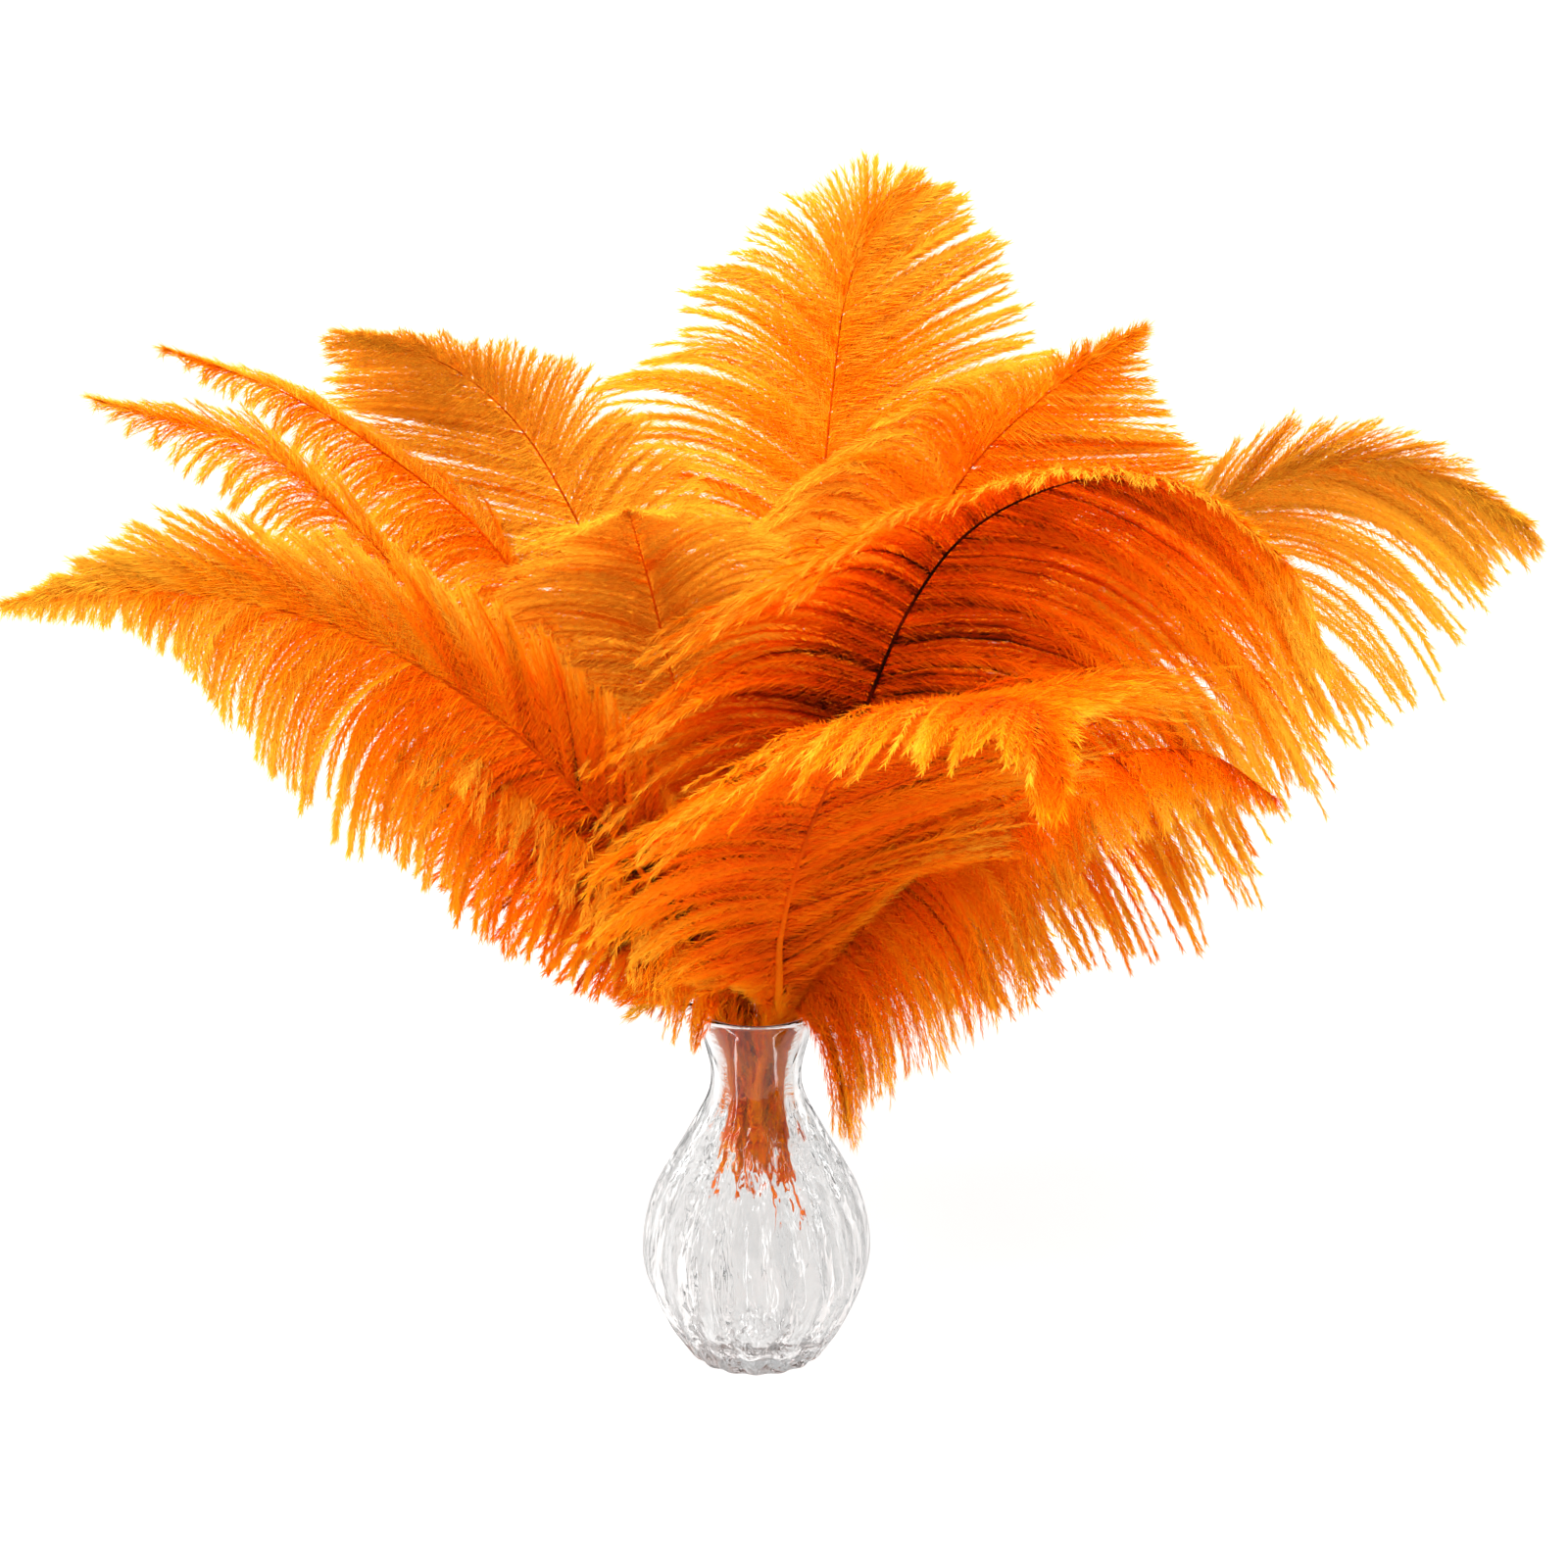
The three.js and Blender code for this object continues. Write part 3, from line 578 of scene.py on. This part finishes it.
def add_barbules(soup, curve, normals, tones, fullness, hairs, hand, rng):
    """Fine hairs along one side of each barb, leaning toward its tip and out of the vane's surface."""
    count, rows, _ = curve.shape
    directions = unit(np.gradient(curve, axis=1))
    places = (np.arange(hairs)[None, :] + rng.uniform(0, 1, (count, hairs))) / hairs
    kept = rng.uniform(0, 1, places.shape) < fullness[:, None]
    barb, hair = np.nonzero(kept)
    place = places[barb, hair]
    step = np.minimum((place * (rows - 1)).astype(int), rows - 2)
    share = (place * (rows - 1) - step)[:, None]
    base = curve[barb, step] * (1 - share) + curve[barb, step + 1] * share
    direction = unit(directions[barb, step] * (1 - share) + directions[barb, step + 1] * share)
    across = unit(np.cross(direction, normals[barb]))
    above = np.cross(across, direction)
    lean = rng.normal(0, BARBULE_LEAN, len(barb))[:, None]
    angle = np.clip(rng.normal(BARBULE_ANGLE, BARBULE_ANGLE_VARIATION, len(barb)), *BARBULE_ANGLES)
    angle = np.radians(angle * (1 - BARBULE_CLOSING * place**2))[:, None]
    out = np.cos(lean) * hand * across + np.sin(lean) * above
    reach = BARBULE_LENGTH * rng.uniform(*BARBULE_LENGTHS, len(barb)) * (1 - BARBULE_SHORTENING * place**2)
    tip = base + reach[:, None] * (np.cos(angle) * direction + np.sin(angle) * out)
    half = 0.5 * BARBULE_WIDTH * direction / np.sin(angle)
    vertices = np.stack([base - half, base + half, tip], axis=1)
    # painted glow: slightly paler barbule feet and much paler tips
    foot_tone, tip_tone = BARBULE_GLOW_TONES
    tone = tones[barb, step]
    corner_tones = np.stack([tone + foot_tone, tone + foot_tone, tone + tip_tone], axis=1)
    soup.add(vertices, np.arange(len(barb) * 3), corner_tones)


def barb_tones(feather, along, rng):
    """Tone of each barb step: deep at the rachis, paler at the end, varied from barb to barb. The deep roots
    are painted shade, deepest on the lowest barbs, and the pale ends a painted glow; the depth at the rachis
    is also partly the dye's own.
    """
    shares = np.linspace(0, 1, BARB_STEPS + 1)[None, :]
    each = variation(TONE_VARIATION, len(along), rng, scale=3)
    # fade: painted shade at the roots and a painted glow at the ends; shade: painted shade at the lowest
    # roots
    fade = feather["fade"] * (1.2 * shares**1.5 - 0.45)
    shade = feather["shade"] * (1 - smoothstep(0, SHADE_PART, along))[:, None] * (1 - shares)
    # painted light and shade along the feather: paler toward the tip and darker at the foot where rise is
    # positive, the reverse where it is negative
    rise = feather["rise"] * (along - 0.5)
    return feather["tone"] + (each + rise)[:, None] + fade - shade


def add_vane(soup, feather, rachis, hand, rng):
    curve, backs, along, lengths = barb_curves(feather, rachis, hand, rng)
    tones = barb_tones(feather, along, rng)
    add_barb_shafts(soup, curve, backs, tones, BARB_WIDTH * feather["spacing"], rng)
    longest = lengths.max()
    hairs = int(BARBULE_DENSITY * feather["fill"] * feather["spacing"] * longest)
    fullness = lengths / longest
    for side in (-1, 1):
        add_barbules(soup, curve, backs, tones, fullness, hairs, side, rng)


def add_down(soup, rachis, rng):
    """Down round the quill, which fills the neck of the vase."""
    heights = rng.uniform(rachis.points[0, 2] + DOWN_START, DOWN_TOP, DOWN_STRANDS)
    neck = rachis.points[:NECK_SAMPLES, 2]
    places = np.interp(heights, neck, np.arange(NECK_SAMPLES)) / (CURVE_SAMPLES - 1)
    points, tangents, sides, backs = rachis.at(places)
    turns = rng.uniform(0, 2 * math.pi, DOWN_STRANDS)[:, None]
    outward = np.cos(turns) * sides + np.sin(turns) * backs
    angles = np.radians(rng.uniform(*DOWN_ANGLES, DOWN_STRANDS))[:, None]
    start = np.cos(angles) * tangents + np.sin(angles) * outward
    none = np.zeros(DOWN_STRANDS)
    curve = grow(points, start, rng.uniform(*DOWN_LENGTHS, DOWN_STRANDS), none, none, tangents, DOWN_STEPS)
    squeeze_into_bundle(curve)
    strand_tones = DOWN_TONE + rng.normal(0, DOWN_TONE_VARIATION, DOWN_STRANDS)
    tones = np.broadcast_to(strand_tones[:, None], curve.shape[:2])
    add_barb_shafts(soup, curve, outward, tones, DOWN_WIDTH, rng)
    for side in (-1, 1):
        add_barbules(soup, curve, outward, tones, np.ones(DOWN_STRANDS), DOWN_HAIRS, side, rng)


def make_feather(name, feather, material, rng):
    rachis = Rachis(feather)
    soup = Soup()
    add_rachis(soup, rachis, feather["shaft"])
    add_down(soup, rachis, rng)
    for hand in (-1, 1):
        add_vane(soup, feather, rachis, hand, rng)
    add_piece(f"{name}_plume", soup.mesh(f"{name}_plume"), material, name)


def set_ramp(ramp, stops):
    """Gives a new colour ramp these stops, each a position and a colour."""
    elements = ramp.color_ramp.elements
    for element, (position, colour) in zip((elements[0], elements[1]), (stops[0], stops[-1])):
        element.position = position
        element.color = colour
    for position, colour in stops[1:-1]:
        elements.new(position).color = colour


def feather_material():
    """Dyed barbs: light passes through them. Their thin places are painted paler than thick ones, a painted
    glow, and their tones also carry painted shade and a painted sheen.
    """
    material = bpy.data.materials.new("ostrich_barbs_dye_and_painted_light")
    material.use_nodes = True
    nodes = material.node_tree.nodes
    links = material.node_tree.links
    nodes.clear()
    output = nodes.new("ShaderNodeOutputMaterial")
    tone = nodes.new("ShaderNodeAttribute")
    tone.attribute_name = "tone"
    place = nodes.new("ShaderNodeTexCoord")
    mottle = nodes.new("ShaderNodeTexNoise")
    mottle.inputs["Scale"].default_value = MOTTLE_SCALE
    mottle.inputs["Detail"].default_value = MOTTLE_DETAIL
    add = nodes.new("ShaderNodeMath")
    add.operation = "MULTIPLY_ADD"
    add.inputs[1].default_value = MOTTLE
    centre = nodes.new("ShaderNodeMath")
    centre.operation = "SUBTRACT"
    centre.inputs[1].default_value = MOTTLE / 2
    dye = nodes.new("ShaderNodeValToRGB")
    set_ramp(dye, DYE)
    surface = nodes.new("ShaderNodeBsdfPrincipled")
    surface.inputs["Roughness"].default_value = BARB_ROUGHNESS
    surface.inputs["Specular IOR Level"].default_value = BARB_SPECULAR
    glow = nodes.new("ShaderNodeBsdfTranslucent")
    mix = nodes.new("ShaderNodeMixShader")
    mix.inputs["Fac"].default_value = GLOW_SHARE
    links.new(place.outputs["Object"], mottle.inputs["Vector"])
    links.new(mottle.outputs["Fac"], add.inputs[0])
    links.new(tone.outputs["Fac"], add.inputs[2])
    links.new(add.outputs[0], centre.inputs[0])
    links.new(centre.outputs[0], dye.inputs["Fac"])
    links.new(dye.outputs["Color"], surface.inputs["Base Color"])
    links.new(dye.outputs["Color"], glow.inputs["Color"])
    links.new(surface.outputs[0], mix.inputs[1])
    links.new(glow.outputs[0], mix.inputs[2])
    links.new(mix.outputs[0], output.inputs["Surface"])
    return material


def make_feathers():
    material = feather_material()
    for order, (name, feather) in enumerate(FEATHERS.items()):
        make_feather(name, USUAL | feather, material, np.random.default_rng(SEED + order))


# ---- Vase ----

def profile_curve(points):
    """Smooth radius and height along one side of the wall."""
    curve, _ = spline([(radius, 0, height) for radius, height in points], PROFILE_STEPS)
    return curve[:, [0, 2]]


def flute_waves(heights, turns):
    """How far the flutes stand out, from -1 to 1, for each height and each turn."""
    rise = np.minimum(heights / FLUTE_TOP, 1) ** FLUTE_FADE
    fade = np.sin(math.pi * (FLUTE_START + (1 - FLUTE_START) * rise))
    wobble = FLUTE_WOBBLE * np.sin(heights / WOBBLE_HEIGHTS[0]) * np.sin(heights / WOBBLE_HEIGHTS[1])
    return fade[:, None] * np.cos(FLUTES * (turns[None, :] + wobble[:, None]))


def ring_faces(rings, around, centres):
    """Faces between rings of points, which close on one centre point at each end."""
    faces = []
    for i in range(rings - 1):
        for k in range(around):
            a = i * around + k
            b = i * around + (k + 1) % around
            faces.append((a, b, b + around, a + around))
    last_ring = (rings - 1) * around
    for k in range(around):
        following = (k + 1) % around
        faces.append((centres[0], following, k))
        faces.append((centres[1], last_ring + k, last_ring + following))
    return faces


def make_vase():
    outer = np.vstack([FOOT, profile_curve(OUTSIDE), LIP])
    inner = np.vstack([profile_curve(INSIDE), [(INNER_FLOOR_RADIUS, INNER_FLOOR_HEIGHT)]])
    rings = np.vstack([outer, inner])
    heights = rings[:, 1]
    depths = np.repeat([FLUTE_DEPTH_OUTSIDE, FLUTE_DEPTH_INSIDE], [len(outer), len(inner)])
    around = FLUTES * STEPS_PER_FLUTE
    turns = np.linspace(0, 2 * math.pi, around, endpoint=False)
    radii = rings[:, 0, None] + depths[:, None] * flute_waves(heights, turns)
    levels = np.broadcast_to(heights[:, None], radii.shape)
    vertices = np.stack([radii * np.sin(turns), -radii * np.cos(turns), levels], axis=-1).reshape(-1, 3)
    centres = (len(vertices), len(vertices) + 1)
    vertices = np.vstack([vertices, [(0, 0, 0), (0, 0, INNER_FLOOR_HEIGHT)]])
    mesh = bpy.data.meshes.new("glass_vase")
    mesh.from_pydata((vertices * MM).tolist(), [], ring_faces(len(rings), around, centres))
    mesh.update()
    mesh.shade_smooth()
    vase = add_piece("glass_vase", mesh, glass_material(), "vase")
    vase.visible_shadow = False


def glass_material():
    """Clear glass with fine ripples that run up the wall and get weaker toward the neck."""
    material = bpy.data.materials.new("clear_glass")
    material.use_nodes = True
    nodes = material.node_tree.nodes
    links = material.node_tree.links
    surface = nodes["Principled BSDF"]
    surface.inputs["Base Color"].default_value = GLASS_COLOUR
    surface.inputs["Roughness"].default_value = 0.0
    surface.inputs["IOR"].default_value = GLASS_IOR
    surface.inputs["Transmission Weight"].default_value = 1.0
    place = nodes.new("ShaderNodeTexCoord")
    stretch = nodes.new("ShaderNodeMapping")
    stretch.inputs["Scale"].default_value = (1, 1, RIPPLE_STRETCH)
    ripple = nodes.new("ShaderNodeTexNoise")
    ripple.inputs["Scale"].default_value = RIPPLE_SCALE
    ripple.inputs["Detail"].default_value = RIPPLE_DETAIL
    bump = nodes.new("ShaderNodeBump")
    bump.inputs["Distance"].default_value = RIPPLE_DEPTH * MM
    height = nodes.new("ShaderNodeSeparateXYZ")
    fade = nodes.new("ShaderNodeMapRange")
    fade.inputs["From Min"].default_value = RIPPLE_FADE[0] * MM
    fade.inputs["From Max"].default_value = RIPPLE_FADE[1] * MM
    fade.inputs["To Min"].default_value = RIPPLE_STRENGTH[0]
    fade.inputs["To Max"].default_value = RIPPLE_STRENGTH[1]
    links.new(place.outputs["Object"], stretch.inputs["Vector"])
    links.new(stretch.outputs["Vector"], ripple.inputs["Vector"])
    links.new(ripple.outputs["Fac"], bump.inputs["Height"])
    links.new(place.outputs["Object"], height.inputs["Vector"])
    links.new(height.outputs["Z"], fade.inputs["Value"])
    links.new(fade.outputs["Result"], bump.inputs["Strength"])
    links.new(bump.outputs["Normal"], surface.inputs["Normal"])
    return material


# ---- Studio ----

def make_camera():
    camera = bpy.data.cameras.new("camera")
    camera.sensor_width = SENSOR
    camera.lens = SENSOR * CAMERA_DISTANCE / (2 * HALF_FRAME)
    holder = bpy.data.objects.new("camera", camera)
    tilt = math.radians(CAMERA_ELEVATION)
    away = Vector((0, -math.cos(tilt), math.sin(tilt))) * CAMERA_DISTANCE
    holder.location = (Vector(CAMERA_TARGET) + away) * MM
    holder.rotation_euler = (math.pi / 2 - tilt, 0, 0)
    bpy.context.scene.collection.objects.link(holder)
    bpy.context.scene.camera = holder


def add_lamp(name, place, spread, power):
    """A broad, soft and slightly warm lamp, kept out of the glass's reflections."""
    light = bpy.data.lights.new(name, "SUN")
    light.angle = math.radians(spread)
    light.energy = power
    light.color = LAMP_COLOUR
    holder = bpy.data.objects.new(name, light)
    holder.rotation_euler = Vector(place).to_track_quat("Z", "Y").to_euler()
    holder.visible_glossy = False
    holder.visible_transmission = False
    bpy.context.scene.collection.objects.link(holder)


def make_floor():
    """A pale floor that glows a little, as lit paper does, so that it stays white under the object."""
    mesh = bpy.data.meshes.new("floor")
    corners = [(x * FLOOR_HALF, y * FLOOR_HALF, 0) for x, y in ((-1, -1), (1, -1), (1, 1), (-1, 1))]
    mesh.from_pydata(corners, [], [(0, 1, 2, 3)])
    floor = bpy.data.objects.new("floor", mesh)
    material = bpy.data.materials.new("pale_floor")
    material.use_nodes = True
    surface = material.node_tree.nodes["Principled BSDF"]
    surface.inputs["Base Color"].default_value = (FLOOR_GREY, FLOOR_GREY, FLOOR_GREY, 1)
    surface.inputs["Roughness"].default_value = 1
    surface.inputs["Emission Color"].default_value = (1, 1, 1, 1)
    surface.inputs["Emission Strength"].default_value = FLOOR_GLOW
    mesh.materials.append(material)
    bpy.context.scene.collection.objects.link(floor)
    floor.visible_glossy = False


def make_world():
    """A white backdrop for the camera. All else sees a room of pale walls, bright strips and dark gaps."""
    world = bpy.data.worlds.new("studio")
    world.use_nodes = True
    nodes = world.node_tree.nodes
    links = world.node_tree.links
    nodes.clear()
    output = nodes.new("ShaderNodeOutputWorld")
    direction = nodes.new("ShaderNodeTexCoord")
    turn = nodes.new("ShaderNodeTexGradient")
    turn.gradient_type = "RADIAL"
    walls = nodes.new("ShaderNodeValToRGB")
    set_ramp(walls, [(place, (level, level, level, 1)) for place, level in WALLS])
    room = nodes.new("ShaderNodeBackground")
    backdrop = nodes.new("ShaderNodeBackground")
    backdrop.inputs["Color"].default_value = (1, 1, 1, 1)
    rays = nodes.new("ShaderNodeLightPath")
    mix = nodes.new("ShaderNodeMixShader")
    links.new(direction.outputs["Generated"], turn.inputs["Vector"])
    links.new(turn.outputs["Fac"], walls.inputs["Fac"])
    links.new(walls.outputs["Color"], room.inputs["Color"])
    links.new(rays.outputs["Is Camera Ray"], mix.inputs["Fac"])
    links.new(room.outputs[0], mix.inputs[1])
    links.new(backdrop.outputs[0], mix.inputs[2])
    links.new(mix.outputs[0], output.inputs["Surface"])
    bpy.context.scene.world = world


def make_studio():
    scene = bpy.context.scene
    scene.view_settings.view_transform = "Standard"
    scene.cycles.max_bounces = GLASS_BOUNCES
    scene.cycles.diffuse_bounces = DIFFUSE_BOUNCES
    scene.cycles.glossy_bounces = GLASS_BOUNCES
    scene.cycles.transmission_bounces = GLASS_BOUNCES
    scene.cycles.denoising_input_passes = "RGB"
    make_world()
    for name, (place, spread, power) in LAMPS.items():
        add_lamp(name, place, spread, power)
    make_floor()


make_camera()
make_studio()
make_vase()
make_feathers()
